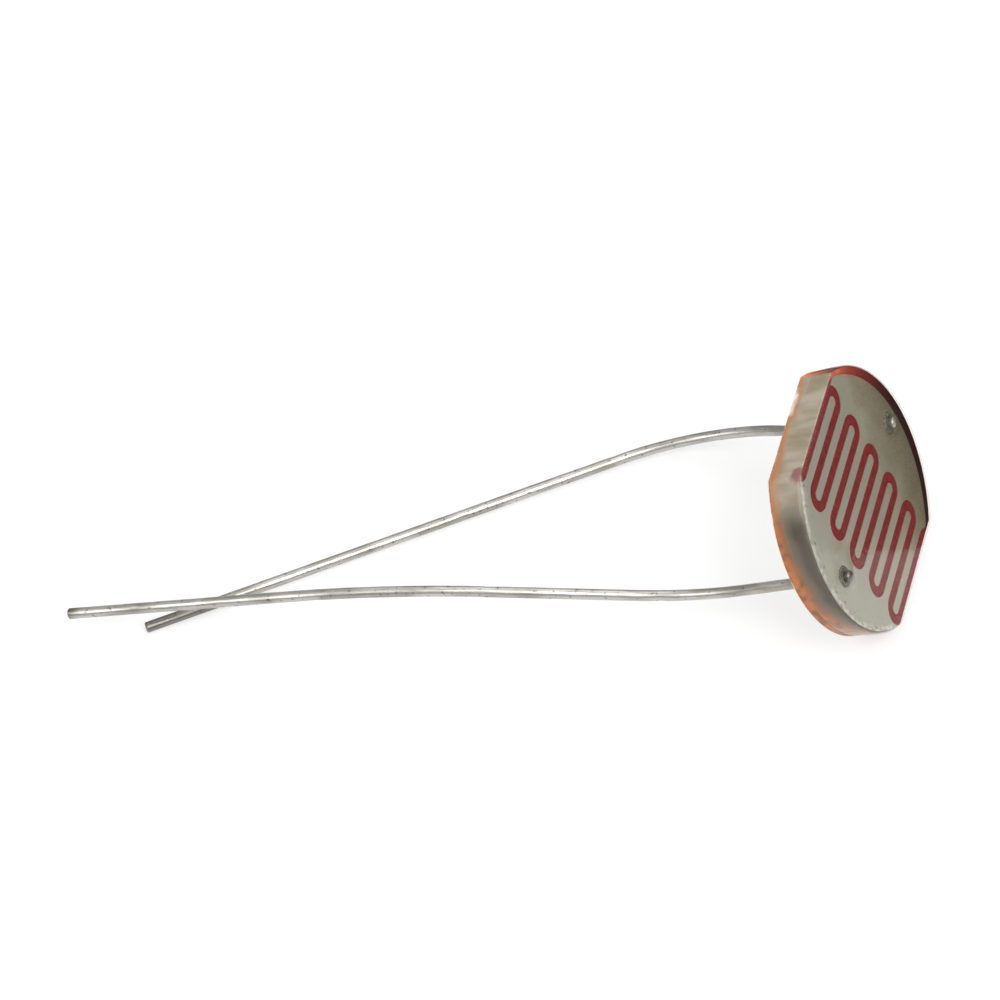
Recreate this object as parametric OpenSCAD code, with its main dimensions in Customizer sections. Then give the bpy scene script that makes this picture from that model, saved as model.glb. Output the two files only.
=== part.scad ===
// Disc photoresistor with two wire leads, lying as it comes to rest:
// the ceramic stands on the edge of one flat and leans back on its leads.
// Disc frame: X across the flats, Y along the line of the leads, Z out of the sensing face.

/* [Ceramic disc] */
// Diameter of the ceramic disc
disc_d = 11.9; // [11:0.1:13]
// Width across the two parallel flats
flats_w = 10.2; // [9.8:0.1:11]
// Thickness of the ceramic
ceramic_t = 1.6; // [1.2:0.05:2]
// Rounding of the ceramic's edge at the face
face_edge_r = 0.05; // [0.03:0.01:0.05]
// Rounding of the ceramic's edge at the back
back_edge_r = 0.12; // [0.05:0.01:0.2]

/* [Sensing film] */
// Thickness of the light-sensitive film
film_t = 0.03; // [0.02:0.005:0.06]
// Bare ceramic left between the film and the rim
film_inset = 0.05; // [0.05:0.01:0.2]

/* [Comb electrodes] */
// Thickness of the metal film
electrode_t = 0.03; // [0.02:0.005:0.06]
// Loops of the open track along each bus
track_loops = 5; // [3:1:5]
// Spacing of the straight runs of the open track
track_pitch = 0.98; // [0.85:0.01:1]
// Width of the open track between the combs
track_w = 0.5; // [0.4:0.01:0.6]
// Straight length of a run, between the centres of its two turns
track_run = 4.6; // [4:0.1:5]
// Shift of the open track across the flats
track_shift_x = -0.03; // [-0.15:0.01:0.15]
// Shift of the open track along the line of the leads
track_shift_y = -0.45; // [-0.5:0.05:0.5]
// Diameter of the round mask that bounds the metal
mask_d = 12; // [11.6:0.1:12.4]
// Shift of the mask across the flats
mask_shift_x = -0.12; // [-0.3:0.02:0.3]
// Metal left by the mask behind the rear lead's contact
mask_land = 0.3; // [0.2:0.05:0.5]

/* [Leads] */
// Diameter of the tinned wire
lead_d = 0.5; // [0.4:0.02:0.6]
// Distance between the two leads
lead_pitch = 9; // [8.4:0.1:9.4]
// Radial room round a lead in the ceramic
hole_clearance = 0.05; // [0.02:0.01:0.1]
// Height of a lead's rounded head above the metal film
head_h = 0.4; // [0.3:0.01:0.5]
// Height of the rounded cap on that head
dome_h = 0.12; // [0.05:0.01:0.15]
// Break of the edge at a lead's cut end
cut_break = 0.05; // [0.02:0.01:0.1]

/* [Front lead bends] */
// Straight run out of the back before the first bend
front_run_1 = 3.3; // [2.5:0.1:5]
// Direction of the first bend, turned about the wire
front_roll_1 = 152; // [140:1:165]
// Angle of the first bend
front_bend_1 = 37; // [30:0.5:42]
// Radius of the first bend
front_radius_1 = 8; // [6:0.5:10]
// Straight run between the bends
front_run_2 = 6.5; // [5:0.1:8]
// Direction of the second bend, turned about the wire
front_roll_2 = 186; // [175:1:195]
// Angle of the second bend
front_bend_2 = 17.5; // [12:0.5:22]
// Radius of the second bend
front_radius_2 = 30; // [24:1:36]
// Straight run to the cut end
front_run_3 = 10.2; // [8:0.2:12]

/* [Rear lead bends] */
// Straight run out of the back before the first bend
rear_run_1 = 0.8; // [0.7:0.1:2]
// Direction of the first bend, turned about the wire
rear_roll_1 = 281; // [270:1:290]
// Angle of the first bend
rear_bend_1 = 15; // [10:0.5:20]
// Radius of the first bend
rear_radius_1 = 5; // [3:0.5:8]
// Straight run between the bends
rear_run_2 = 2.2; // [1:0.1:4]
// Direction of the second bend, turned about the wire
rear_roll_2 = 195; // [185:1:205]
// Angle of the second bend
rear_bend_2 = 58.5; // [50:0.5:65]
// Radius of the second bend
rear_radius_2 = 8; // [6:0.5:10]
// Straight run to the cut end
rear_run_3 = 23.2; // [20:0.2:26]

/* [Contacts and seals] */
// Diameter of the conductive paste round a lead's head
contact_d = 1; // [0.8:0.05:1.2]
// Height of the paste
contact_h = 0.08; // [0.05:0.01:0.12]
// Width of the paste's thin edge round the wire
paste_wall = 0.06; // [0.04:0.01:0.1]
// Diameter of the resin seal on the back of the ceramic
seal_d = 1.1; // [0.9:0.05:1.4]
// Height of the seal along the wire
seal_h = 0.6; // [0.4:0.05:0.7]
// Width of the seal's thin edge round the wire
seal_wall = 0.07; // [0.05:0.01:0.12]

/* [Clear coat] */
// Thickness of the clear resin over the metal film
coat_face_t = 0.15; // [0.13:0.01:0.25]
// Thickness of the clear resin on the rim
coat_rim_t = 0.05; // [0.05:0.01:0.1]
// Bare ceramic left on the rim, up from the back
bare_rim = 0.45; // [0.4:0.05:0.6]
// Rounding of the resin's outer edge
coat_edge_r = 0.33; // [0.2:0.01:0.34]

/* [Hidden] */
$fn = 64;

disc_r = disc_d / 2;
half_w = flats_w / 2;
lead_r = lead_d / 2;
// Larger than the whole disc, for half-planes and cutting bodies
reach = 2 * disc_d;
// A bend is a hair fuller than the straights, which end a little way inside it
bend_swell = 0.003;
bend_lap = 0.05;

// Levels above the back of the ceramic
film_z = ceramic_t;
electrode_z = film_z + film_t;
metal_top_z = electrode_z + electrode_t;
coat_top_z = metal_top_z + coat_face_t;

// Where each lead passes through the disc
front_at = [0, -lead_pitch / 2, 0];
rear_at = [0, lead_pitch / 2, 0];

// Centre of the mask along the line of the leads, from the rear contact
mask_shift_y = rear_at.y + contact_d / 2 + mask_land - mask_d / 2;

// A wire's route: one entry a stretch, as straight run, roll, bend angle, bend radius
front_route = [
    [front_run_1, front_roll_1, front_bend_1, front_radius_1],
    [front_run_2, front_roll_2, front_bend_2, front_radius_2],
    [front_run_3, 0, 0, 0]
];
rear_route = [
    [rear_run_1, rear_roll_1, rear_bend_1, rear_radius_1],
    [rear_run_2, rear_roll_2, rear_bend_2, rear_radius_2],
    [rear_run_3, 0, 0, 0]
];

// A point turned about Z, and about Y
function turn_z(p, a) = [p.x * cos(a) - p.y * sin(a), p.x * sin(a) + p.y * cos(a), p.z];
function turn_y(p, a) = [p.x * cos(a) + p.z * sin(a), p.y, p.z * cos(a) - p.x * sin(a)];

// End of a route that starts at the origin along +Z
function route_end(route, i = 0) =
    i == len(route) ? [0, 0, 0] :
    let (step = route[i], centre = [step[3], 0, 0])
    [0, 0, step[0]] + turn_z(centre + turn_y(route_end(route, i + 1) - centre, step[2]), step[1]);

// The cut end of a lead that leaves the back of the disc at a given place
function cut_end(at, route) = let (p = route_end(route)) [at.x + p.x, at.y - p.y, at.z - p.z];

front_end = cut_end(front_at, front_route);
rear_end = cut_end(rear_at, rear_route);

// Angle from upright at which the rounded edge of a flat and a lead's end touch one table
function lean_on(end) =
    let (across = end.x - (half_w - back_edge_r), back = back_edge_r - end.z)
    asin((back_edge_r - lead_r) / norm([across, back])) - atan2(across, back);

// The disc leans back until the first of the two leads touches
lean = min(lean_on(front_end), lean_on(rear_end));

// Place along X of a point of the disc frame once it leans
function laid_x(p) = p.x * sin(lean) + p.z * cos(lean);

// Middle of the part's footprint, and the height of the disc's centre above the table
mid_x = (min(laid_x(front_end), laid_x(rear_end)) + laid_x([half_w, 0, coat_top_z])) / 2;
mid_y = (min(front_end.y, rear_end.y) - lead_r + disc_r + coat_rim_t) / 2;
stand_z = (half_w - back_edge_r) * cos(lean) - back_edge_r * sin(lean) + back_edge_r;

// Moves the disc frame to where the part lies on the table
module laid() {
    translate([-mid_x, -mid_y, stand_z])
        rotate([0, 90 - lean, 0])
            children();
}

// Circle with two flats, drawn in from the ceramic's outline by a margin
module disc_outline(margin = 0) {
    intersection() {
        circle(r = disc_r - margin);
        square([flats_w - 2 * margin, reach], center = true);
    }
}

// Rectangle from the origin up, with rounded corners at the top and, if asked, at the bottom
module rounded_profile(w, h, r_top, r_bottom) {
    translate([-w / 2, r_bottom])
        square([w, h - r_top - r_bottom]);
    translate([-w / 2 + r_top, h - 2 * r_top])
        square([w - 2 * r_top, 2 * r_top]);
    for (side = [-1, 1])
        translate([side * (w / 2 - r_top), h - r_top])
            circle(r = r_top);
    if (r_bottom > 0) {
        translate([-w / 2 + r_bottom, 0])
            square([w - 2 * r_bottom, 2 * r_bottom]);
        for (side = [-1, 1])
            translate([side * (w / 2 - r_bottom), r_bottom])
                circle(r = r_bottom);
    }
}

// Disc with two flats and rounded edges, standing on Z = 0
module flatted_disc(d, w, h, r_top, r_bottom) {
    intersection() {
        rotate_extrude()
            intersection() {
                rounded_profile(d, h, r_top, r_bottom);
                square(reach);
            }
        translate([0, reach / 2, 0])
            rotate([90, 0, 0])
                linear_extrude(reach)
                    rounded_profile(w, h, r_top, r_bottom);
    }
}

// Both places where a lead passes through
module at_leads() {
    for (at = [front_at, rear_at])
        translate(at)
            children();
}

// Outline of a layer with its two lead holes
module pierced_layer() {
    difference() {
        children();
        at_leads()
            circle(r = lead_r + hole_clearance);
    }
}

// Middle of turn k of the open track along the upper bus
function turn_x(k) = (2 * k + 0.5 - track_loops) * track_pitch;

// The open track: straight runs joined by half rings, in and out past both ends
module open_track() {
    for (i = [0 : 2 * track_loops])
        translate([(i - track_loops) * track_pitch, 0])
            square([track_w, track_run], center = true);
    for (k = [0 : track_loops], way = [0, 180])
        rotate(way)
            translate([turn_x(k), track_run / 2])
                intersection() {
                    difference() {
                        circle(d = track_pitch + track_w);
                        circle(d = track_pitch - track_w);
                    }
                    translate([-track_pitch, 0])
                        square(2 * track_pitch);
                }
}

// Everything on the upper bus's side of the track's centre line
module upper_side() {
    difference() {
        translate([-reach / 2, track_run / 2])
            square(reach);
        for (k = [0 : track_loops])
            translate([turn_x(k), track_run / 2])
                circle(d = track_pitch);
    }
    for (k = [0 : track_loops])
        rotate(180)
            translate([turn_x(k), track_run / 2]) {
                circle(d = track_pitch);
                translate([-track_pitch / 2, -track_run])
                    square([track_pitch, track_run]);
            }
}

// One comb: its side of the track inside the mask, out to the middle of the outermost runs.
// Half a turn gives the other comb.
module comb_outline(way) {
    pierced_layer()
        intersection() {
            disc_outline(film_inset);
            translate([mask_shift_x, mask_shift_y])
                circle(d = mask_d);
            translate([track_shift_x, track_shift_y])
                difference() {
                    intersection() {
                        rotate(way)
                            upper_side();
                        square([2 * track_loops * track_pitch, reach], center = true);
                    }
                    open_track();
                }
        }
}

module comb(way) {
    translate([0, 0, electrode_z])
        linear_extrude(electrode_t)
            comb_outline(way);
}

// Round wire along a route from the origin, starting along +Z
module wire(route, i = 0) {
    run = route[i][0];
    bend = route[i][2];
    radius = route[i][3];
    last = i == len(route) - 1;
    start_z = i == 0 ? 0 : -bend_lap;
    end_z = last ? run - cut_break : run + bend_lap;
    translate([0, 0, start_z])
        cylinder(r = lead_r, h = end_z - start_z);
    if (last)
        translate([0, 0, end_z])
            cylinder(r1 = lead_r, r2 = lead_r - cut_break, h = cut_break);
    else
        translate([0, 0, run])
            rotate([0, 0, route[i][1]]) {
                translate([radius, 0, 0])
                    rotate([90, 0, 0])
                        rotate([0, 0, 180 - bend])
                            rotate_extrude(angle = bend)
                                translate([radius, 0])
                                    circle(r = lead_r + bend_swell);
                translate([radius, 0, 0])
                    rotate([0, bend, 0])
                        translate([-radius, 0, 0])
                            wire(route, i + 1);
            }
}

// A lead: domed head above the metal film, shank through the ceramic, bent wire behind
module lead(at, route) {
    top_z = metal_top_z + head_h;
    dome_r = (lead_r * lead_r + dome_h * dome_h) / (2 * dome_h);
    translate(at) {
        cylinder(r = lead_r, h = metal_top_z);
        intersection() {
            translate([0, 0, metal_top_z])
                cylinder(r = lead_r, h = head_h);
            translate([0, 0, top_z - dome_r])
                sphere(r = dome_r);
        }
        rotate([180, 0, 0])
            wire(route);
    }
}

// Ring of paste that joins a lead's head to its comb
module contact(at) {
    translate(at + [0, 0, metal_top_z])
        difference() {
            cylinder(d1 = contact_d, d2 = lead_d + 2 * paste_wall, h = contact_h);
            cylinder(r = lead_r, h = reach, center = true);
        }
}

// Cone of resin round a lead where it leaves the back
module seal(at) {
    translate(at)
        rotate([180, 0, 0])
            difference() {
                cylinder(d1 = seal_d, d2 = lead_d + 2 * seal_wall, h = seal_h);
                cylinder(r = lead_r, h = reach, center = true);
            }
}

module ceramic_form() {
    flatted_disc(disc_d, flats_w, ceramic_t, face_edge_r, back_edge_r);
}

module film_form() {
    translate([0, 0, film_z])
        linear_extrude(film_t)
            pierced_layer()
                disc_outline(film_inset);
}

module ceramic_base() {
    color("#ebe6de")
        laid()
            difference() {
                ceramic_form();
                at_leads()
                    cylinder(r = lead_r + hole_clearance, h = reach, center = true);
            }
}

module cds_film() {
    color("#7f2628")
        laid()
            film_form();
}

module electrode_upper() {
    color("#b4b8ac")
        laid()
            comb(0);
}

module electrode_lower() {
    color("#b4b8ac")
        laid()
            comb(180);
}

module lead_front() {
    color("#c6c2b8")
        laid()
            lead(front_at, front_route);
}

module lead_rear() {
    color("#c6c2b8")
        laid()
            lead(rear_at, rear_route);
}

module contact_front() {
    color("#8f9088")
        laid()
            contact(front_at);
}

module contact_rear() {
    color("#8f9088")
        laid()
            contact(rear_at);
}

module seal_front() {
    color("#d8cdbb")
        laid()
            seal(front_at);
}

module seal_rear() {
    color("#d8cdbb")
        laid()
            seal(rear_at);
}

// Cap of clear resin over the face and the front of the rim, with room for all it covers
module clear_coat() {
    color("#e8e4d8", 0.3)
        laid()
            difference() {
                translate([0, 0, bare_rim])
                    flatted_disc(
                        disc_d + 2 * coat_rim_t, flats_w + 2 * coat_rim_t,
                        coat_top_z - bare_rim, coat_edge_r, 0
                    );
                ceramic_form();
                film_form();
                comb(0);
                comb(180);
                at_leads()
                    cylinder(r = lead_r + hole_clearance, h = metal_top_z);
                contact(front_at);
                contact(rear_at);
                lead(front_at, front_route);
                lead(rear_at, rear_route);
            }
}

ceramic_base();
cds_film();
electrode_upper();
electrode_lower();
lead_front();
lead_rear();
contact_front();
contact_rear();
seal_front();
seal_rear();
clear_coat();
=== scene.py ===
# %% [markdown]
# # A disc photoresistor
# A photoresistor is a small ceramic disc. Its face carries a red film that conducts when light
# falls on it, two metal combs that leave a winding track of that film open, and a coat of clear
# resin. Two tinned wires pass through the disc. This one stands on a flat of its rim and leans
# back on its wires. The solids of the part are loaded first and stay where they are.

# %% Load the solids
import math

import bpy
import numpy as np
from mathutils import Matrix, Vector


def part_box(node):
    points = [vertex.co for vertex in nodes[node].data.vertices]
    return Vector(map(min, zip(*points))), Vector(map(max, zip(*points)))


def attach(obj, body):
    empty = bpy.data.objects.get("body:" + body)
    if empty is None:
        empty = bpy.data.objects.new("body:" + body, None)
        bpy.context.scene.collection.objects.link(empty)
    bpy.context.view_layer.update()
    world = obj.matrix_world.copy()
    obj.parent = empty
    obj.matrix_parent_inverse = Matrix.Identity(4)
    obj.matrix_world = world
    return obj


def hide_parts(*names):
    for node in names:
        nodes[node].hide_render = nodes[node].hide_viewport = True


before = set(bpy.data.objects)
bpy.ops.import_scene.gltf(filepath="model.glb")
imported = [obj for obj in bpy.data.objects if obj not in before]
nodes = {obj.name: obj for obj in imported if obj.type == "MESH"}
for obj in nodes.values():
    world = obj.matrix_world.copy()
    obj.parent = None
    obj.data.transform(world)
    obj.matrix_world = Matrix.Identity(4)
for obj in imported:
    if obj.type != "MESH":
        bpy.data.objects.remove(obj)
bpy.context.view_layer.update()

print("solids:", sorted(nodes))

# %% [markdown]
# ## The disc's own frame
# The disc leans, so most of its shapes and stains are easier to write in a frame that leans with
# it: X across the flats, Y along the line of the wires, Z out of the face, zero at the centre of
# the back, in millimetres. The film is a thin flat layer, so its points give the frame: their mean
# plane is the face, and the direction in which they spread least is the face's normal.

# %% Find the disc's frame
MM = 0.001
DISC_R = 5.95
HALF_W = 5.1
CERAMIC_T = 1.6
FILM_T = 0.03
FILM_MID_Z = CERAMIC_T + FILM_T / 2


def node_points(name):
    """All the vertices of a solid, as rows of x, y, z in metres."""
    mesh = nodes[name].data
    flat = np.empty(len(mesh.vertices) * 3)
    mesh.vertices.foreach_get("co", flat)
    return flat.reshape(-1, 3)


film_low, film_high = (np.array(corner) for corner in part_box("cds_film"))
film_mid = (film_low + film_high) / 2
normal = np.linalg.svd(node_points("cds_film") - film_mid, full_matrices=False)[2][2]
normal *= np.sign(normal[0])
along = np.array((0.0, 1.0, 0.0))
across = np.cross(along, normal)
disc_axes = np.array((across, along, normal))
back_centre = film_mid - normal * FILM_MID_Z * MM
lean = math.asin(normal[2])


def place(points):
    """Millimetres of the disc's frame to metres of the row: the back's centre plus each
    coordinate times its own axis."""
    return back_centre + MM * (points @ disc_axes)


print(f"the disc leans back by {math.degrees(lean):.1f} degrees")

# %% [markdown]
# ## Camera
# The photograph looks down on the disc at about fifty degrees, from a little to the right of the
# line on which the wires lie. The camera stands there, level, and looks at the disc. It is then
# swung by the smallest turn that brings the middle of the part to the middle of the picture, so
# the wires keep their slope, and a long lens lets the part fill the picture.

# %% Make the camera
VIEW_AZIMUTH = math.radians(12.5)
VIEW_ELEVATION = math.radians(50.65)
VIEW_DISTANCE = 0.185
LENS = 150.0
AIM = Vector((-0.0005, 0.0007, 0.0032))

toward_camera = Vector((
    math.sin(VIEW_AZIMUTH) * math.cos(VIEW_ELEVATION),
    -math.cos(VIEW_AZIMUTH) * math.cos(VIEW_ELEVATION),
    math.sin(VIEW_ELEVATION),
))
camera_data = bpy.data.cameras.new("camera")
camera_data.lens = LENS
camera_data.clip_start = 0.001
camera_data.clip_end = 10.0
camera = bpy.data.objects.new("camera", camera_data)
camera.location = Vector(film_mid) + VIEW_DISTANCE * toward_camera
at_disc = (-toward_camera).to_track_quat("-Z", "Y")
swing = (-toward_camera).rotation_difference(AIM - camera.location)
camera.rotation_euler = (swing @ at_disc).to_euler()
bpy.context.scene.collection.objects.link(camera)
bpy.context.scene.camera = camera
print("camera at", tuple(round(v, 4) for v in camera.location))

# %% [markdown]
# ## Surfaces from grids
# Every new piece here is a grid of points that closes on itself: round the piece in one direction,
# along it in the other. One helper turns such a grid into a mesh. It can close the first and the
# last ring with a point, or join the last ring to the first.


# %% A helper for grid surfaces
def signed_volume(points, triangles):
    """Volume inside a closed surface: a sixth of the sum of each triangle's triple product. It is
    negative if the triangles face inwards."""
    a, b, c = (points[triangles[:, k]] for k in range(3))
    return np.sum(a * np.cross(b, c)) / 6


def grid_mesh(name, rings, closed_loop=False):
    """A mesh from rings[i, j], ring i and place j round it, in the disc's millimetres.
    Each face joins places j and j + 1 of rings i and i + 1. Without closed_loop, the mean points
    of the two end rings close the ends. If the faces point inwards, all are turned round."""
    count, around = rings.shape[:2]
    points = rings.reshape(-1, 3)
    first = np.arange(count if closed_loop else count - 1)[:, None] * around
    second = (first + around) % (count * around)
    here = np.arange(around)[None, :]
    there = (here + 1) % around
    corners = (first + here, first + there, second + there, second + here)
    quads = np.stack(corners, axis=-1).reshape(-1, 4)
    caps = np.empty((0, 3), dtype=int)
    if not closed_loop:
        points = np.concatenate((points, (rings[0].mean(axis=0), rings[-1].mean(axis=0))))
        start, end = count * around, count * around + 1
        turn = np.arange(around)
        after = (turn + 1) % around
        last = (count - 1) * around
        caps = np.concatenate((np.stack((np.full(around, start), after, turn), axis=-1),
                               np.stack((np.full(around, end), last + turn, last + after), axis=-1)))
    triangles = np.concatenate((quads[:, (0, 1, 2)], quads[:, (0, 2, 3)], caps))
    if signed_volume(points, triangles) < 0:
        quads, caps = quads[:, ::-1], caps[:, ::-1]
    mesh = bpy.data.meshes.new(name)
    mesh.from_pydata(place(points).tolist(), [], quads.tolist() + caps.tolist())
    mesh.polygons.foreach_set("use_smooth", np.ones(len(mesh.polygons), dtype=bool))
    piece = bpy.data.objects.new(name, mesh)
    bpy.context.scene.collection.objects.link(piece)
    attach(piece, "root")
    volume = abs(signed_volume(points, triangles))
    print(f"{name}: {len(mesh.vertices)} points, {len(mesh.polygons)} faces, {volume:.3f} cubic mm")
    return piece


# %% [markdown]
# ## The tinned wires
# Each wire starts as a domed head on the face, runs through the disc and is bent twice behind it.
# A round profile is carried along the wire's line. The line is worked out a stretch at a time:
# straight, then round a bend about an axis beside it. The profile's frame turns with the bends
# only, so the wire doesn't twist. Real wires carry nicks from the tool that bent and cut them,
# and these are small hollows in the profile's radius.

# %% The line of a wire
LEAD_R = 0.25
LEAD_Y = 4.5
HEAD_TOP_Z = 2.06
WIRE_STEP = 0.06
FRONT_ROUTE = ((3.3, 152, 37, 8), (6.5, 186, 17.5, 30), (10.2, 0, 0, 1))
REAR_ROUTE = ((0.8, 281, 15, 5), (2.2, 195, 58.5, 8), (23.2, 0, 0, 1))


def turned_about(axis, angles):
    """Rotation matrices about one axis for an array of angles: the axis part stays, the rest
    turns by cosine and sine."""
    x, y, z = axis
    cross = np.array(((0, -z, y), (z, 0, -x), (-y, x, 0)))
    turn = angles[:, None, None]
    return np.eye(3) + np.sin(turn) * cross + (1 - np.cos(turn)) * (cross @ cross)


def wire_line(lead_y, route):
    """Points and frames along a wire. Each row of the route is a straight run, a roll about the
    heading, a bend and its radius. A straight run adds length times heading; a bend turns points
    and frames about an axis that stands a radius to the side of the heading."""
    bend_frame = np.diag((1.0, -1.0, -1.0))
    ring_frame = bend_frame.copy()
    at = np.array((0.0, lead_y, HEAD_TOP_Z))
    points, frames = [], []
    for number, (run, roll, bend, radius) in enumerate(route):
        length = run + (HEAD_TOP_Z if number == 0 else 0)
        steps = np.linspace(0, length, int(length / WIRE_STEP) + 2)[:-1]
        points.append(at + steps[:, None] * bend_frame[:, 2])
        frames.append(np.repeat(ring_frame[None], len(steps), axis=0))
        at = at + length * bend_frame[:, 2]
        bend_frame = bend_frame @ turned_about((0, 0, 1), np.radians((roll,)))[0]
        angle = math.radians(bend)
        angles = np.linspace(0, angle, int(angle * radius / WIRE_STEP) + 2)
        turns = turned_about(bend_frame[:, 1], angles)
        hub = at + radius * bend_frame[:, 0]
        points.append((hub + turns @ (at - hub))[:-1])
        frames.append((turns @ ring_frame)[:-1])
        at = hub + turns[-1] @ (at - hub)
        bend_frame, ring_frame = turns[-1] @ bend_frame, turns[-1] @ ring_frame
    points.append(at[None])
    frames.append(ring_frame[None])
    return np.concatenate(points), np.concatenate(frames)


# %% The wires' surface
WIRE_SIDES = 28
DOME_RINGS = 7
FIRST_RING = 0.004
DOME_H = 0.12
CUT_BREAK = 0.05
DOME_R = (LEAD_R ** 2 + DOME_H ** 2) / (2 * DOME_H)


def wire_piece(name, lead_y, route, nicks):
    """A wire: centre line plus radius times a circle in each frame. The radius follows a ball at
    the head and a bevel at the cut, and each nick (place, angle, depth, width) takes away a bell
    curve along the wire on one side of it. The field along_wire keeps each point's place: the
    distance along the wire, and the cosine and sine of the angle round it."""
    line, frames = wire_line(lead_y, route)
    travelled = np.concatenate(((0,), np.cumsum(np.linalg.norm(np.diff(line, axis=0), axis=1))))
    total = travelled[-1]
    head = np.linspace(FIRST_RING, DOME_H, DOME_RINGS)
    cut = total - np.array((CUT_BREAK, CUT_BREAK / 2, 0))
    inner = travelled[(travelled > DOME_H) & (travelled < total - CUT_BREAK)]
    stations = np.concatenate((head, inner, cut))
    centre = np.stack([np.interp(stations, travelled, line[:, k]) for k in range(3)], axis=-1)
    nearest = np.searchsorted(travelled, stations).clip(0, len(travelled) - 1)
    ring_frames = frames[nearest]
    depth = np.minimum(stations, DOME_H)
    radius = np.sqrt(np.maximum(DOME_R ** 2 - (DOME_R - depth) ** 2, 0))
    radius = np.minimum(radius, LEAD_R - np.maximum(stations - (total - CUT_BREAK), 0))
    angles = np.linspace(0, 2 * math.pi, WIRE_SIDES, endpoint=False)
    rings = np.repeat(radius[:, None], WIRE_SIDES, axis=1)
    for place_on, angle, nick_depth, width in nicks:
        bell = np.exp(-((stations - place_on) / width) ** 2)
        side = np.maximum(np.cos(angles - angle), 0) ** 3
        rings -= nick_depth * bell[:, None] * side
    circle = (np.cos(angles)[:, None] * ring_frames[:, None, :, 0]
              + np.sin(angles)[:, None] * ring_frames[:, None, :, 1])
    piece = grid_mesh(name, centre[:, None, :] + rings[..., None] * circle)
    parts = np.broadcast_arrays(stations[:, None], np.cos(angles), np.sin(angles))
    along_wire = np.stack(parts, axis=-1).reshape(-1, 3)
    tips = ((0, 0, 0), (total, 0, 0))
    field = piece.data.attributes.new("along_wire", "FLOAT_VECTOR", "POINT")
    field.data.foreach_set("vector", np.concatenate((along_wire, tips)).ravel())
    return piece


FRONT_NICKS = ((9.4, 1.2, 0.03, 0.22), (17.0, 4.4, 0.02, 0.3), (24.8, 0.4, 0.025, 0.2),
               (33.2, 2.2, 0.035, 0.18), (33.9, 5.2, 0.02, 0.15))
REAR_NICKS = ((6.2, 0.9, 0.03, 0.25), (14.6, 3.9, 0.02, 0.3), (22.3, 1.6, 0.025, 0.22),
              (34.6, 2.8, 0.035, 0.2), (35.5, 5.6, 0.02, 0.15))
wire_front = wire_piece("wire_front", -LEAD_Y, FRONT_ROUTE, FRONT_NICKS)
wire_rear = wire_piece("wire_rear", LEAD_Y, REAR_ROUTE, REAR_NICKS)
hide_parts("lead_front")
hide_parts("lead_rear")

# %% [markdown]
# ## Paste and resin round the wires
# A ring of conductive paste joins each head to its comb, and a cone of resin seals each wire at
# the back. Both were drops that dried, so their outlines wander a little. Each is a closed outline
# carried round the wire, with a few waves in its width.

# %% Rings round the wires
RING_SIDES = 48
METAL_TOP_Z = 1.66
NEAR_WIRE = LEAD_R + 0.002
PASTE = ((NEAR_WIRE, METAL_TOP_Z + 0.001), (0.50, METAL_TOP_Z + 0.001), (0.47, METAL_TOP_Z + 0.03),
         (0.41, METAL_TOP_Z + 0.055), (0.34, METAL_TOP_Z + 0.075), (0.29, METAL_TOP_Z + 0.08),
         (NEAR_WIRE, METAL_TOP_Z + 0.08))
SEAL = ((NEAR_WIRE, -0.6), (0.29, -0.58), (0.31, -0.48), (0.345, -0.34), (0.40, -0.2),
        (0.47, -0.09), (0.53, -0.03), (0.55, -0.002), (NEAR_WIRE, -0.002))
PASTE_WANDER = 0.07
SEAL_WANDER = 0.06


def ring_round_wire(name, lead_y, outline, wander, phase):
    """A closed outline of (radius, height) turned about a wire. The outline's width beyond the
    wire is multiplied by one plus wander times a sum of two sine waves round the turn."""
    turn = np.linspace(0, 2 * math.pi, RING_SIDES, endpoint=False)
    waves = 1 + wander * (np.sin(2 * turn + phase) + 0.6 * np.sin(5 * turn + 2.3 * phase))
    radius, height = np.array(outline).T
    reach = LEAD_R + (radius[:, None] - LEAD_R) * waves
    rings = np.stack((reach * np.cos(turn), lead_y + reach * np.sin(turn),
                      np.repeat(height[:, None], RING_SIDES, axis=1)), axis=-1)
    return grid_mesh(name, rings, closed_loop=True)


paste_rings, resin_cones = [], []
for end, lead_y, phase in (("front", -LEAD_Y, 0.7), ("rear", LEAD_Y, 2.9)):
    paste = ring_round_wire(f"paste_{end}", lead_y, PASTE, PASTE_WANDER, phase)
    seal = ring_round_wire(f"resin_{end}", lead_y, SEAL, SEAL_WANDER, phase + 1)
    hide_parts(f"contact_{end}")
    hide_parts(f"seal_{end}")
    paste_rings.append(paste)
    resin_cones.append(seal)

# %% [markdown]
# ## The clear coat
# The disc was dipped or sprayed with clear resin, which lies thick and nearly flat on the face,
# rounds the edge and thins out down the rim in an uneven line. The coat is one closed shell. Its
# outline is a circle with two flats, written in polar form, and its section is carried round that
# outline: out over the face, round the edge, down the rim, and back on the inside. The inside lies
# a hair above the films, so the two never share a surface.

# %% The coat's outlines
AROUND = 320
RIM_COAT = 0.05
RIM_GAP = 0.008
OUTER_SHARPNESS = 200
INNER_SHARPNESS = 800
OUTLINE_WAVE = 0.008
turn = np.linspace(0, 2 * math.pi, AROUND, endpoint=False)


def flatted_circle(radius, half_width, sharpness):
    """Distance from the centre to a circle with two flats at each angle: the soft minimum of the
    circle's radius and of the half width over the cosine, as a power mean."""
    over_flat = radius * np.abs(np.cos(turn)) / half_width
    return radius * (1 + over_flat ** sharpness) ** (-1 / sharpness)


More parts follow.
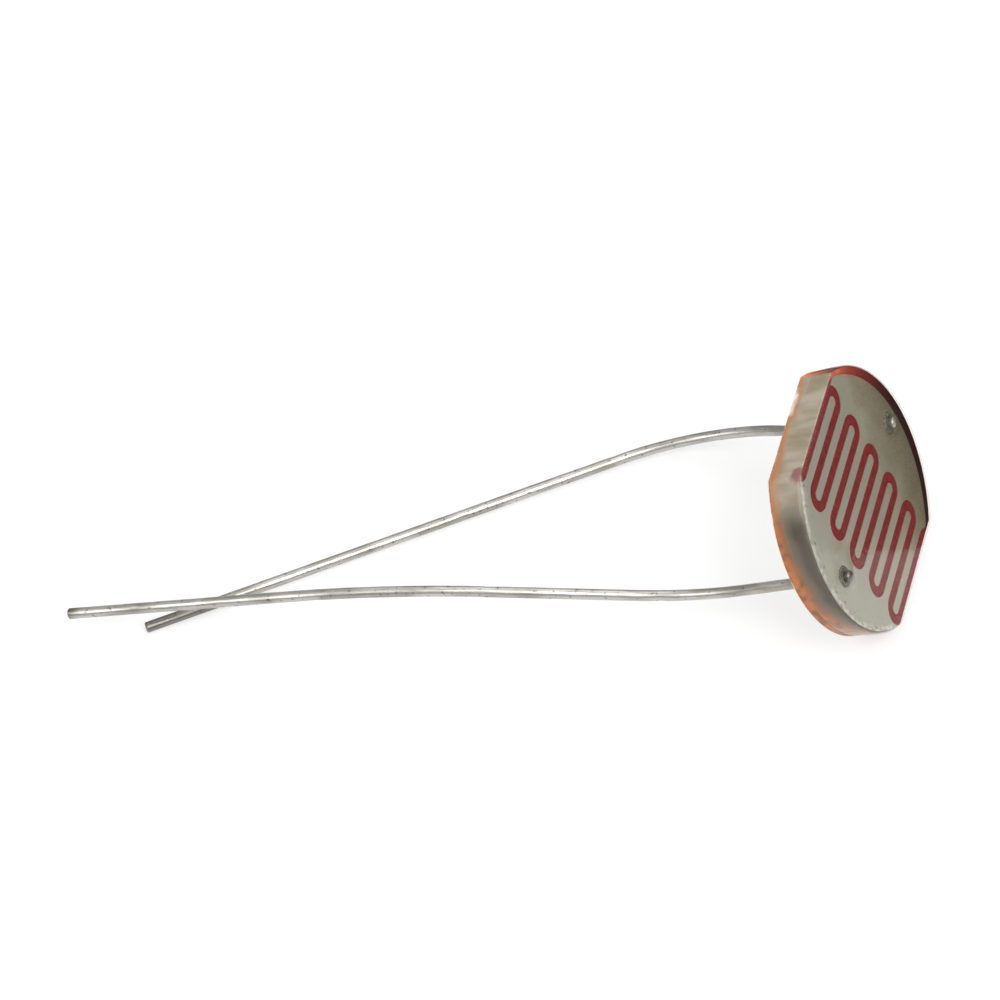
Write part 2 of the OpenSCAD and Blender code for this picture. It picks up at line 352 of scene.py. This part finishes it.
waver = OUTLINE_WAVE * (np.sin(5 * turn + 0.4) + np.sin(9 * turn + 1.9))
outer_line = flatted_circle(DISC_R + RIM_COAT, HALF_W + RIM_COAT, OUTER_SHARPNESS) + waver
inner_line = flatted_circle(DISC_R + RIM_GAP, HALF_W + RIM_GAP, INNER_SHARPNESS)
print(f"the coat reaches {outer_line.max():.2f} mm out, and {outer_line.min():.2f} mm at the flats")

# %% The coat's section
FACE_RINGS = 60
EDGE_RINGS = 8
FIRST_SHARE = 0.006
COAT_TOP_Z = 1.80
COAT_EDGE = 0.33
COAT_FOOT_Z = 0.51
FOOT_WAVE = 0.05
FOOT_TAPER = 0.03
FOOT_LIP = 0.012
INSIDE_TOP_Z = 1.675
CERAMIC_EDGE = 0.055
EDGE_GAP = 0.012
HAIR = 0.004


def coat_section(outer, inner):
    """Distances from the axis and heights of the coat's section, as rings from the face's centre
    over the rim and back to the inside's centre. Both edges are quarter circles, the rim's coat
    thins with the square of the way down, and the foot's height is a sum of two sine waves."""
    share = np.linspace(FIRST_SHARE, 1, FACE_RINGS)[:, None]
    quarter = np.linspace(0, math.pi / 2, EDGE_RINGS + 1)[1:, None]
    fall = np.linspace(0, 1, EDGE_RINGS + 1)[1:, None]
    foot = COAT_FOOT_Z + FOOT_WAVE * (np.sin(3 * turn + 0.8) + 0.7 * np.sin(7 * turn + 2.1))
    edge_z = COAT_TOP_Z - COAT_EDGE
    inside_edge_z = CERAMIC_T + EDGE_GAP - CERAMIC_EDGE
    rows = (
        (share * (outer - COAT_EDGE), COAT_TOP_Z),
        (outer - COAT_EDGE + COAT_EDGE * np.sin(quarter), edge_z + COAT_EDGE * np.cos(quarter)),
        (outer - FOOT_TAPER * fall ** 2, edge_z + fall * (foot - edge_z)),
        (inner[None] + HAIR, foot[None] - FOOT_LIP),
        (inner, foot + fall * (CERAMIC_T - CERAMIC_EDGE - foot)),
        (inner - CERAMIC_EDGE * (1 - np.cos(quarter)), inside_edge_z + CERAMIC_EDGE * np.sin(quarter)),
        (share[::-1] * (inner - CERAMIC_EDGE - HAIR), INSIDE_TOP_Z),
    )
    columns = zip(*(np.broadcast_arrays(*row) for row in rows))
    return [np.concatenate(column) for column in columns]


away, height = coat_section(outer_line, inner_line)
print("the coat's section has", len(height), "rings")

# %% The coat's surface
SWELL_H = 0.010
SETTLE_W = 0.8
OUTER_RISE = (0.30, 0.50)
INNER_RISE = (0.395, 0.44)


def swell(x, y):
    """Slow waves of the resin's surface: a sum of three sines in different directions."""
    return (np.sin(0.9 * x + 0.5 * y + 1.1) + np.sin(1.4 * y - 0.6 * x - 0.4)
            + 0.7 * np.sin(2.1 * x + 1.2 * y + 2.0))


def over_heads(x, y, rise, width):
    """Bell-shaped rises over the two wire heads, of one height and width."""
    bells = [np.exp(-(x ** 2 + (y - side * LEAD_Y) ** 2) / width ** 2) for side in (-1, 1)]
    return rise * (bells[0] + bells[1])


coat_x, coat_y = away * np.cos(turn), away * np.sin(turn)
on_face = height == COAT_TOP_Z
on_inside = height == INSIDE_TOP_Z
settle = np.clip((outer_line - COAT_EDGE - away) / SETTLE_W, 0, 1)
waves = settle * SWELL_H * swell(coat_x, coat_y)
height += on_face * (waves + over_heads(coat_x, coat_y, *OUTER_RISE))
height += on_inside * over_heads(coat_x, coat_y, *INNER_RISE)
coat = grid_mesh("coat_shell", np.stack((coat_x, coat_y, height), axis=-1))
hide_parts("clear_coat")

# %% [markdown]
# ## Finishes
# A finish is a small network of shader nodes. The helper below adds a node, feeds its inputs with
# plain values or other nodes' outputs, and hands back the output. Patterns on the disc read Object
# coordinates through a Mapping node, which turns them into the disc's own millimetres, so a stain
# can be placed by how near it is to the rim or the back.


# %% Helpers for finishes
def srgb(code):
    """Linear colour of a code written as #RRGGBB, by the standard curve for screens."""
    shown = np.array([int(code[k:k + 2], 16) for k in (1, 3, 5)]) / 255
    linear = np.where(shown <= 0.04045, shown / 12.92, ((shown + 0.055) / 1.055) ** 2.4)
    return (*linear.tolist(), 1.0)


class Finish:
    """A material that is being made. Each method adds a node and returns its output."""

    def __init__(self, name):
        self.material = bpy.data.materials.new(name)
        self.material.use_nodes = True
        self.tree = self.material.node_tree
        self.shader = self.tree.nodes["Principled BSDF"]
        self.surface = self.tree.nodes["Material Output"].inputs["Surface"]

    def feed(self, socket, value):
        """Links a node's output to a socket, or sets the socket to a plain value."""
        if isinstance(value, bpy.types.NodeSocket):
            self.tree.links.new(value, socket)
        else:
            socket.default_value = value

    def add(self, kind, inputs, output=0, **settings):
        """One node of a kind, with its settings and its inputs by name or number."""
        node = self.tree.nodes.new(kind)
        for key, value in settings.items():
            setattr(node, key, value)
        for key, value in inputs.items():
            self.feed(node.inputs[key], value)
        return node.outputs[output]

    def shade(self, **values):
        """Feeds the main shader's sockets; an underscore stands for a space in a name."""
        for key, value in values.items():
            self.feed(self.shader.inputs[key.replace("_", " ")], value)

    def math(self, operation, first, second=0.0):
        """One step of arithmetic, by the name that Blender gives it."""
        return self.add("ShaderNodeMath", {0: first, 1: second}, operation=operation)

    def plus(self, first, second):
        """The sum of two values."""
        return self.math("ADD", first, second)

    def minus(self, first, second):
        """The first value less the second."""
        return self.math("SUBTRACT", first, second)

    def times(self, first, second):
        """The product of two values."""
        return self.math("MULTIPLY", first, second)

    def step(self, value, low, high):
        """A soft step: 0 up to low, 1 from high on. It falls where low is above high."""
        return self.add("ShaderNodeMapRange", {"Value": value, "From Min": low, "From Max": high},
                        interpolation_type="SMOOTHSTEP")

    def mix(self, share, first, second):
        """A colour between two, the second by its share."""
        return self.add("ShaderNodeMix", {0: share, 6: first, 7: second}, output=2, data_type="RGBA")

    def noise(self, vector, scale, detail):
        """Cloudy noise about one half: a higher scale is finer, and more detail is rougher."""
        return self.add("ShaderNodeTexNoise", {"Vector": vector, "Scale": scale, "Detail": detail})

    def stretched(self, vector, scale):
        """Coordinates multiplied by a scale along each axis, for streaks."""
        return self.add("ShaderNodeMapping", {"Vector": vector, "Scale": scale})

    def ramp(self, value, stops):
        """A colour ramp through (place, colour code) stops."""
        node = self.tree.nodes.new("ShaderNodeValToRGB")
        marks = node.color_ramp.elements
        while len(marks) < len(stops):
            marks.new(0.5)
        for mark, (place_on, code) in zip(marks, stops):
            mark.position = place_on
            mark.color = srgb(code)
        self.feed(node.inputs[0], value)
        return node.outputs[0]

    def bump(self, height, distance, strength):
        """Fine relief in the shading, from a pattern's height and a depth in metres."""
        relief = {"Height": height, "Distance": distance, "Strength": strength}
        self.shade(Normal=self.add("ShaderNodeBump", relief))

    def disc_place(self):
        """Coordinates in the disc's millimetres, and the three of them by themselves."""
        object_place = self.add("ShaderNodeTexCoord", {}, output=3)
        vector = self.add("ShaderNodeMapping", {
            "Vector": object_place, "Location": tuple(back_centre),
            "Rotation": (0, math.pi / 2 - lean, 0), "Scale": (MM, MM, MM),
        }, vector_type="TEXTURE")
        split = self.tree.nodes.new("ShaderNodeSeparateXYZ")
        self.feed(split.inputs[0], vector)
        return vector, *split.outputs

    def away_from(self, first, second, spot):
        """Distance of two coordinates from a spot: the root of the sum of the squares."""
        one_way = self.minus(first, spot[0])
        other_way = self.minus(second, spot[1])
        squares = self.plus(self.times(one_way, one_way), self.times(other_way, other_way))
        return self.math("SQRT", squares)

    def circle_distance(self, x, y):
        """Distance in from the disc's circle."""
        return self.minus(DISC_R, self.away_from(x, y, (0, 0)))

    def rim_distance(self, x, y):
        """Distance in from the rim: from the circle or from the nearer flat, the smaller of them."""
        to_flat = self.minus(HALF_W, self.math("ABSOLUTE", x))
        return self.math("MINIMUM", self.circle_distance(x, y), to_flat)

    def put_on(self, *pieces, slot=None):
        """Gives the finish to pieces; the slot is not used."""
        for piece in pieces:
            piece.data.materials.clear()
            piece.data.materials.append(self.material)
        print(self.material.name, "is on", ", ".join(piece.name for piece in pieces))


# %% [markdown]
# ## Stained ceramic
# The pressed ceramic is white on the back. The red paste ran over the rim before firing: there it
# goes from dark red at the face to orange and then to white at the back. Metal vapour also reached
# the front half of the rim and the upper flat. On the rim it left a grey veil that gives way to
# orange towards the back and lower down; beside the face the veil is darkened with painted shade.
# The upper flat is a paler, streaky grey with one dark red blot. So the rim's colour is read from
# ramps along Z, one for the paste and one for the veil and its painted shade, and noise moves the
# borders.

# %% Patterns of the ceramic
ceramic = Finish("stained_ceramic")
vector, x, y, z = ceramic.disc_place()
rim = ceramic.rim_distance(x, y)
cloud = ceramic.noise(vector, 0.55, 3.0)
patch = ceramic.noise(vector, 1.7, 4.0)
fine = ceramic.noise(vector, 9.0, 4.0)
streak = ceramic.noise(ceramic.stretched(vector, (1.0, 1.4, 0.5)), 1.0, 3.0)
shake = ceramic.plus(ceramic.times(cloud, 0.7), ceramic.times(patch, 0.5))
moved = ceramic.minus(shake, 0.6)
share_up = ceramic.math("DIVIDE", z, CERAMIC_T)
level = ceramic.plus(share_up, moved)
calm_level = ceramic.plus(share_up, ceramic.times(moved, 0.45))
print("the ceramic's patterns take", len(ceramic.tree.nodes), "nodes")

# %% Colours of the rim
BLOT_AT = (-2.9, 1.55)
paste_run = ceramic.ramp(level, (
    (0.0, "#F0C59A"), (0.2, "#E8964F"), (0.45, "#D5622E"), (0.7, "#A93A24"), (0.92, "#5E1C18")))
lower_down = ceramic.times(ceramic.step(x, -4.5, 4.5), 0.62)
veil_level = ceramic.minus(calm_level, lower_down)
# The ramp's darkest stops, beside the face, are painted shade on the grey metal veil.
veil_and_shade = ceramic.ramp(veil_level, (
    (0.0, "#AC6738"), (0.16, "#8F5B36"), (0.30, "#6E5B47"), (0.46, "#5A5145"),
    (0.60, "#463F36"), (0.80, "#4A433A"), (0.98, "#6B6559")))
blotch = ceramic.times(ceramic.step(patch, 0.46, 0.62), ceramic.step(veil_level, 0.42, 0.05))
veiled_and_shaded = ceramic.mix(ceramic.times(blotch, 0.75), veil_and_shade, srgb("#6E4228"))
streaky = ceramic.mix(ceramic.step(streak, 0.32, 0.70), srgb("#A79E90"), srgb("#877D68"))
edged = ceramic.mix(ceramic.step(calm_level, 0.10, 0.40), srgb("#A5714A"), streaky)
blot_edge = ceramic.plus(ceramic.away_from(y, z, BLOT_AT), ceramic.times(moved, 1.2))
on_blot = ceramic.times(ceramic.step(blot_edge, 0.40, 0.10), 0.8)
wall = ceramic.mix(on_blot, edged, srgb("#7A4248"))
white = ceramic.mix(ceramic.step(fine, 0.35, 0.75), srgb("#ECE8E2"), srgb("#DDD8D0"))
print("with the rim's colours they take", len(ceramic.tree.nodes))

# %% Where each colour lies
off_back = ceramic.step(z, 0.0, 0.10)
in_front = ceramic.times(ceramic.step(y, 1.8, -0.4), off_back)
near_wall = ceramic.times(ceramic.step(x, -3.5, -5.0), ceramic.step(y, 3.1, 2.9))
on_wall = ceramic.times(near_wall, off_back)
side = ceramic.mix(on_wall, ceramic.mix(in_front, paste_run, veiled_and_shaded), wall)
on_rim = ceramic.step(rim, 0.24, 0.02)
spread = ceramic.times(ceramic.step(cloud, 0.42, 0.66), 1.6)
on_back = ceramic.step(ceramic.minus(spread, rim), 0.0, 1.3)
border = ceramic.plus(ceramic.times(level, 0.6), ceramic.times(in_front, 0.12))
ran_over = ceramic.times(on_rim, ceramic.step(border, -0.06, 0.12))
stain = ceramic.math("MAXIMUM", on_back, ran_over)
ceramic.shade(Base_Color=ceramic.mix(stain, white, side), Roughness=0.42)
ceramic.bump(fine, 0.00002, 0.5)
ceramic.put_on(nodes["ceramic_base"])

# %% [markdown]
# ## Sintered red film
# The light-sensitive film is a dark, slightly uneven red. The metal's round mask sat a little to the
# front, so a crescent of the film lies bare along the rear of the rim: orange by the upper flat,
# where it is thin, and darkened further round to almost black with painted shade. Along the front
# of the rim the film's edge has a breath of metal. The film lies in resin, which bends light much as
# it does itself, so it has little gloss of its own.

# %% Film finish
MASK_AT = (-0.12, -0.7)
MASK_R = 6.0
red_film = Finish("sintered_film")
vector, x, y, _ = red_film.disc_place()
grain = red_film.noise(vector, 5.0, 4.0)
track_red = red_film.ramp(grain, ((0.3, "#5C191B"), (0.5, "#6F2022"), (0.7, "#832A2B")))
# Painted shade: the bare crescent darkens from orange to almost black further round.
bare_and_shaded = red_film.ramp(red_film.step(x, -5.2, 1.0), (
    (0.0, "#B4563A"), (0.10, "#8E3029"), (0.31, "#6A1F1C"), (0.72, "#3E1513"), (0.93, "#2A0D0C")))
beyond_mask = red_film.minus(red_film.away_from(x, y, MASK_AT), MASK_R)
film = red_film.mix(red_film.step(beyond_mask, -0.1, 0.0), track_red, bare_and_shaded)
by_circle = red_film.step(red_film.circle_distance(x, y), 0.14, 0.08)
front_rim = red_film.times(by_circle, red_film.step(y, 0.0, -0.6))
breathed = red_film.times(front_rim, red_film.step(x, 3.7, 3.3))
film_colour = red_film.mix(breathed, film, srgb("#96958A"))
red_film.shade(Base_Color=film_colour, Roughness=0.5, Specular_IOR_Level=0.1)
red_film.bump(grain, 0.000015, 0.6)
red_film.put_on(nodes["cds_film"])

# %% [markdown]
# ## Evaporated metal
# The combs are a thin breath of metal on the rough film, so they look like warm grey satin rather
# than a mirror. They are pale towards the front wire and browner and darker by the bare crescent,
# there partly a brown tint and partly painted shade. They have cloudy marks, a brownish smudge
# beside the front wire and small dark specks near the front rim, and a pale, broken line along the
# front edge is a painted highlight.

# %% Comb tones
combs = Finish("evaporated_metal")
vector, x, y, _ = combs.disc_place()
rim = combs.rim_distance(x, y)
cloud = combs.noise(vector, 0.7, 4.0)
fine = combs.noise(vector, 14.0, 3.0)
# Painted shade and a brown tint: darker towards the rear and the right.
drift = combs.plus(combs.times(x, 0.35), combs.times(cloud, 4.0))
tone_and_shade = combs.ramp(combs.step(combs.plus(y, drift), -4.0, 8.0), (
    (0.0, "#9B9A8F"), (0.50, "#969486"), (0.74, "#969381"), (0.88, "#837B66"), (1.0, "#6B604B")))
worn = combs.mix(combs.times(combs.step(fine, 0.5, 0.8), 0.5), tone_and_shade, srgb("#B4B5AA"))
print("the combs' tones take", len(combs.tree.nodes), "nodes")

# %% Comb marks
SMUDGE_AT = (-0.5, -LEAD_Y + 0.5)
by_wire = combs.step(combs.away_from(x, y, SMUDGE_AT), 1.7, 0.4)
smudge = combs.times(by_wire, combs.step(cloud, 0.35, 0.6))
smudged = combs.mix(combs.times(smudge, 0.55), worn, srgb("#857B62"))
near_rim = combs.times(combs.step(rim, 0.9, 0.3), combs.step(y, 0.5, -1.0))
dots = combs.step(combs.noise(vector, 5.2, 1.0), 0.67, 0.72)
specks = combs.times(combs.times(dots, near_rim), 0.7)
specked = combs.mix(specks, smudged, srgb("#4A443A"))
# Painted highlight: a pale, broken line along the front edge.
edge_highlight = combs.times(combs.step(rim, 0.36, 0.16), combs.step(y, 0.6, -0.8))
broken_highlight = combs.times(edge_highlight, combs.step(combs.noise(vector, 3.4, 3.0), 0.42, 0.56))
edged = combs.mix(combs.times(broken_highlight, 0.6), specked, srgb("#D0CFC5"))
combs.shade(Base_Color=edged, Metallic=0.35, Roughness=0.42)
combs.bump(fine, 0.000008, 0.4)
combs.put_on(nodes["electrode_upper"], nodes["electrode_lower"])

# %% [markdown]
# ## Tinned wire
# Tin plating is a soft silver with fine lines along the wire from drawing, dull patches where it
# was handled, and small pits. The front wire's head is dull. Each wire is darker towards its end;
# at the rear wire's end, which lies under the front wire, that is painted shade. So each wire has a
# finish of its own. The patterns read the wire's own field, which runs along it in millimetres and
# once round it, so the lines follow every bend.


# %% Wire finish
def tin_finish(name, dark_from, dull_head):
    """Tin plating: silver by dull patches, darker in the drawn lines and pits, darker beyond a
    distance along the wire, with a border that noise moves (painted shade at the rear wire's end,
    under the front wire), and dull on the head by a share."""
    tin = Finish(name)
    along_wire = tin.add("ShaderNodeAttribute", {}, output="Vector", attribute_name="along_wire")
    travelled = tin.add("ShaderNodeSeparateXYZ", {0: along_wire})
    lines = tin.noise(tin.stretched(along_wire, (0.8, 4.0, 4.0)), 1.0, 3.0)
    dull = tin.noise(tin.stretched(along_wire, (0.55, 0.4, 0.4)), 1.0, 4.0)
    pits = tin.step(tin.noise(tin.stretched(along_wire, (5.0, 1.3, 1.3)), 1.0, 2.0), 0.62, 0.72)
    silver = tin.mix(tin.step(dull, 0.40, 0.66), srgb("#C3C1BC"), srgb("#A5A29A"))
    scored = tin.mix(tin.times(tin.step(lines, 0.50, 0.72), 0.55), silver, srgb("#7D7971"))
    pitted = tin.mix(tin.times(pits, 0.65), scored, srgb("#55514A"))
    reached = tin.plus(travelled, tin.times(dull, 1.6))
    # Darker towards the wire's end: at the rear wire's end, under the front wire, painted shade.
    dark_end = tin.times(tin.step(reached, dark_from + 0.4, dark_from + 1.2), 0.7)
    on_head = tin.times(tin.step(travelled, 0.5, 0.3), dull_head)
    dulled_and_shaded = tin.mix(tin.math("MAXIMUM", dark_end, on_head), pitted, srgb("#5E5A54"))
    roughness = tin.add("ShaderNodeMapRange", {"Value": dull, "To Min": 0.26, "To Max": 0.44})
    tin.shade(Base_Color=dulled_and_shaded, Metallic=1.0, Roughness=roughness)
    tin.bump(tin.plus(lines, tin.times(pits, -0.8)), 0.000012, 0.5)
    return tin


FRONT_DARK_FROM = 36.0
REAR_DARK_FROM = 33.9
FRONT_DULL_HEAD = 0.75
REAR_DULL_HEAD = 0.1
front_tin = tin_finish("tinned_wire_front", FRONT_DARK_FROM, FRONT_DULL_HEAD)
front_tin.put_on(wire_front, slot="tinned_wire")
rear_tin = tin_finish("tinned_wire_rear", REAR_DARK_FROM, REAR_DULL_HEAD)
rear_tin.put_on(wire_rear, slot="tinned_wire")

# %% [markdown]
# ## Paste and seal resin
# The paste is a dark grey that glints a little. The resin at the back is cream and glossy. Each is
# one noise pattern read through a ramp of three tones, which is enough for pieces this small.

# %% Paste and resin finishes
silver_paste = Finish("silver_paste")
grains = silver_paste.noise(silver_paste.disc_place()[0], 16.0, 3.0)
paste_grey = silver_paste.ramp(grains, ((0.35, "#3F3C34"), (0.55, "#6A675C"), (0.75, "#A5A296")))
silver_paste.shade(Base_Color=paste_grey, Metallic=0.5, Roughness=0.45)
silver_paste.bump(grains, 0.00003, 0.8)
silver_paste.put_on(*paste_rings, slot="contact_paste")

cream_resin = Finish("cream_resin")
tint = cream_resin.noise(cream_resin.disc_place()[0], 2.5, 3.0)
cream = cream_resin.ramp(tint, ((0.35, "#B9AE9A"), (0.6, "#D6CBB6"), (0.8, "#E4DCCB")))
cream_resin.shade(Base_Color=cream, Roughness=0.22, Coat_Weight=0.3)
cream_resin.put_on(*resin_cones, slot="seal_resin")

# %% [markdown]
# ## Clear resin
# A clear coat is seen only by its gloss. The outside mixes a clear shader with a glossy one, by the
# share of light that resin turns back: a little straight on, and more at grazing angles, by the
# fifth power of how far the surface turns away. Layer Weight gives the same share on both sides of
# a face, so light leaves the coat as easily as it enters. The inside faces are wholly clear, because
# there the resin is bonded to what it covers and gives no second reflection.

# %% Coat finish
STRAIGHT_ON = 0.024
AT_GRAZING = 0.78
GRAZING_POWER = 5.0
CLEAR_TINT = (0.985, 0.975, 0.945, 1.0)
resin = Finish("clear_resin")
ripple = resin.noise(resin.disc_place()[0], 2.2, 2.0)
ripples = resin.add("ShaderNodeBump", {"Height": ripple, "Distance": 0.00003, "Strength": 0.35})
gloss = resin.add("ShaderNodeBsdfGlossy", {"Roughness": 0.09, "Normal": ripples})
through = resin.add("ShaderNodeBsdfTransparent", {"Color": CLEAR_TINT})
facing = resin.add("ShaderNodeLayerWeight", {"Blend": 0.5, "Normal": ripples}, output="Facing")
grazing = resin.times(resin.math("POWER", facing, GRAZING_POWER), AT_GRAZING)
turned_back = resin.plus(grazing, STRAIGHT_ON)
coat_mix = resin.add("ShaderNodeMixShader", {0: turned_back, 1: through, 2: gloss})
resin.feed(resin.surface, coat_mix)
resin.put_on(coat, slot="clear_resin")

# %% The coat's inside
# The faces lie ring by ring in the mesh, and the two end caps come last.
bonded = Finish("bonded_resin")
bonded.feed(bonded.surface, bonded.add("ShaderNodeBsdfTransparent", {}))
coat.data.materials.append(bonded.material)
last_ring = len(height) - 1
inside_from = FACE_RINGS + 2 * EDGE_RINGS
face_ring = np.append(np.repeat(np.arange(last_ring), AROUND), np.repeat((0, last_ring), AROUND))
is_inside = face_ring >= inside_from
coat.data.polygons.foreach_set("material_index", is_inside.astype(np.int32))
print("inside faces of the coat:", int(is_inside.sum()))

# %% [markdown]
# ## Floor
# The part lies on a white table. The floor adds some white of its own to what the camera and the
# reflections see, which lightens the shadow but keeps it, and sheds no more light on the part.

# %% Floor
FLOOR_HALF = 1.5
FLOOR_GLOW = 0.6
floor_mesh = bpy.data.meshes.new("floor")
corners = FLOOR_HALF * np.array(((-1, -1, 0), (1, -1, 0), (1, 1, 0), (-1, 1, 0)))
floor_mesh.from_pydata(corners.tolist(), [], [(0, 1, 2, 3)])
floor = bpy.data.objects.new("floor", floor_mesh)
bpy.context.scene.collection.objects.link(floor)

table = Finish("white_table")
light_path = table.tree.nodes.new("ShaderNodeLightPath")
mirrored = table.math("MAXIMUM", light_path.outputs["Is Glossy Ray"],
                      light_path.outputs["Is Transmission Ray"])
seen = table.math("MAXIMUM", light_path.outputs["Is Camera Ray"], mirrored)
matte = table.add("ShaderNodeBsdfDiffuse", {"Color": (0.9, 0.9, 0.9, 1.0)})
glow = table.add("ShaderNodeEmission", {"Color": (1.0, 1.0, 1.0, 1.0), "Strength": 1.0})
glow_share = table.times(seen, FLOOR_GLOW)
floor_mix = table.add("ShaderNodeMixShader", {0: glow_share, 1: matte, 2: glow})
table.feed(table.surface, floor_mix)
table.put_on(floor)
print("the floor is", 2 * FLOOR_HALF, "m wide")

# %% [markdown]
# ## A dark card
# Seen from the camera, the glossy face mirrors the white table beside it, which would turn the red
# pale. As a photographer would, a dark card lies there, and its near edge is mirrored across the
# lower loops of the track. Only reflections see it: it casts no shadow, and the camera doesn't show
# it.

# %% Card before the face
CARD = ((18.6, 4.7), (80, 32.3), (80, 100), (2, 100), (2, 13), (18.6, 9.5))
CARD_Z = 0.2
card_mesh = bpy.data.meshes.new("card")
card_points = [(east * MM, north * MM, CARD_Z * MM) for east, north in CARD]
card_mesh.from_pydata(card_points, [], [range(len(CARD))])
card = bpy.data.objects.new("card", card_mesh)
bpy.context.scene.collection.objects.link(card)
card.visible_camera = False
card.visible_diffuse = False
card.visible_shadow = False
black_paper = Finish("black_paper")
black_paper.shade(Base_Color=(0.03, 0.03, 0.03, 1.0), Roughness=0.9)
black_paper.put_on(card)
print("the card has", len(CARD), "corners")

# %% [markdown]
# ## Lamps and sky
# Three large square lamps give soft light, and each is turned to face the part: one over the wires,
# a stronger one on the side of the face and a weak one beyond it. The sky is white and fades towards
# the horizon, so that the wires have something darker to mirror.

# %% Lamps
LAMPS = (
    ("key", (-0.22, -0.34, 0.42), 0.34, 1.0),
    ("side", (0.32, -0.16, 0.50), 0.36, 2.5),
    ("top", (0.05, 0.32, 0.46), 0.40, 0.6),
)
for name, spot, size, power in LAMPS:
    lamp_data = bpy.data.lights.new(name, "AREA")
    lamp_data.shape = "SQUARE"
    lamp_data.size = size
    lamp_data.energy = power
    lamp = bpy.data.objects.new(name, lamp_data)
    lamp.location = spot
    lamp.rotation_euler = (-Vector(spot)).to_track_quat("-Z", "Y").to_euler()
    bpy.context.scene.collection.objects.link(lamp)
    print("lamp", name, "at", spot)

# %% Sky
SKY_AT_HORIZON = 0.35
SKY_OVERHEAD = 0.75
sky = bpy.data.worlds.new("studio")
sky.use_nodes = True
bpy.context.scene.world = sky
sky_nodes, sky_links = sky.node_tree.nodes, sky.node_tree.links
direction = sky_nodes.new("ShaderNodeTexCoord")
upward = sky_nodes.new("ShaderNodeSeparateXYZ")
fade = sky_nodes.new("ShaderNodeMapRange")
fade.inputs["To Min"].default_value = SKY_AT_HORIZON
fade.inputs["To Max"].default_value = SKY_OVERHEAD
sky_links.new(direction.outputs["Generated"], upward.inputs[0])
sky_links.new(upward.outputs["Z"], fade.inputs["Value"])
sky_links.new(fade.outputs[0], sky_nodes["Background"].inputs["Strength"])
sky_nodes["Background"].inputs["Color"].default_value = (1.0, 1.0, 1.0, 1.0)
print("the sky goes from", SKY_AT_HORIZON, "to", SKY_OVERHEAD)

# %% [markdown]
# ## Finish
# Colours are shown as they are written, so the view transform is the plain one.

# %% Finish
bpy.context.scene.view_settings.view_transform = "Standard"
